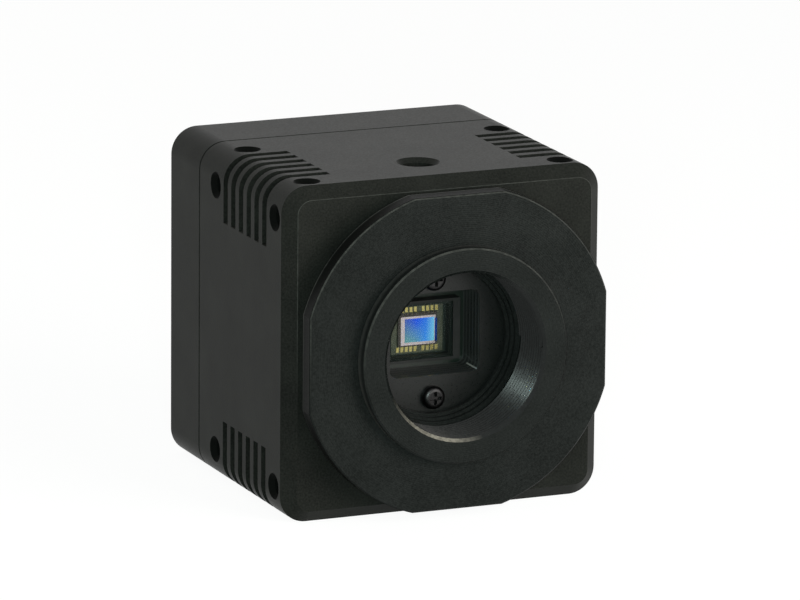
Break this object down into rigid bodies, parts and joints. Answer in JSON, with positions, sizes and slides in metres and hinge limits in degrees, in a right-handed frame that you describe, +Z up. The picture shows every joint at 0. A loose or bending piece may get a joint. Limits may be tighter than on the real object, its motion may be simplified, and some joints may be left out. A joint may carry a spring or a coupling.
{
  "type": "machine vision camera",
  "caption": "Square-bodied black industrial camera with a bare C-mount lens opening, visible image sensor, corner cooling slots, tripod hole and rear sockets.",
  "frame": {"origin": "centre of the lens seat, the front face of the C-mount ring, on the optical axis", "axes": "+Y along the optical axis from the lens side to the sockets, +Z up towards the face with the tripod hole, +X to the right seen from the lens side"},
  "size_m": [0.05, 0.0545, 0.05],
  "materials": {
    "housing_black": "fine bead-blasted black anodised aluminium",
    "cover_black": "fine bead-blasted black anodised aluminium",
    "flange_black": "turned black anodised aluminium",
    "ring_black": "turned black anodised aluminium",
    "mask_black": "matte black anodised aluminium",
    "black_steel": "black oxide steel",
    "bright_steel": "nickel-plated steel",
    "package_ceramic": "dark grey ceramic",
    "sensor_silicon": "silicon with an iridescent pixel array",
    "window_glass": "clear cover glass",
    "gold": "gold-plated pads and pins",
    "board_green": "glass-fibre laminate with green solder mask",
    "chip_black": "black moulding compound",
    "processor_lid": "metal lid on a laminate base",
    "ferrite": "grey ferrite",
    "spacer_brass": "nickel-plated brass",
    "link_plastic": "moulded connector plastic",
    "socket_nickel": "nickel-plated shell",
    "insert_black": "black moulded nylon",
    "light_clear": "clear acrylic",
    "lamp_white": "white lamp body"
  },
  "bodies": {
    "root": {"front_housing": "housing_black", "rear_cover": "cover_black", "cover_screws": "black_steel", "lens_flange": "flange_black", "c_mount_ring": "ring_black", "flange_screws": "black_steel", "sensor_mask": "mask_black", "mask_screws": "black_steel", "mask_nuts": "bright_steel", "sensor_package": "package_ceramic", "sensor_die": "sensor_silicon", "sensor_cover_glass": "window_glass", "sensor_bond_pads": "gold", "sensor_board": "board_green", "processor_board": "board_green", "interface_board": "board_green", "front_board_spacers": "spacer_brass", "rear_board_spacers": "spacer_brass", "board_screws": "bright_steel", "front_link_plug": "link_plastic", "front_link_socket": "link_plastic", "rear_link_plug": "link_plastic", "rear_link_socket": "link_plastic", "image_processor": "processor_lid", "memory_chips": "chip_black", "clock_oscillator": "bright_steel", "power_inductors": "ferrite", "network_transformer": "chip_black", "network_socket_shell": "socket_nickel", "network_socket_insert": "insert_black", "network_socket_contacts": "gold", "power_socket_shell": "socket_nickel", "power_socket_insert": "insert_black", "power_socket_pins": "gold", "power_socket_nut": "bright_steel", "status_light_pipe": "light_clear", "status_led": "lamp_white"}
  },
  "joints": []
}
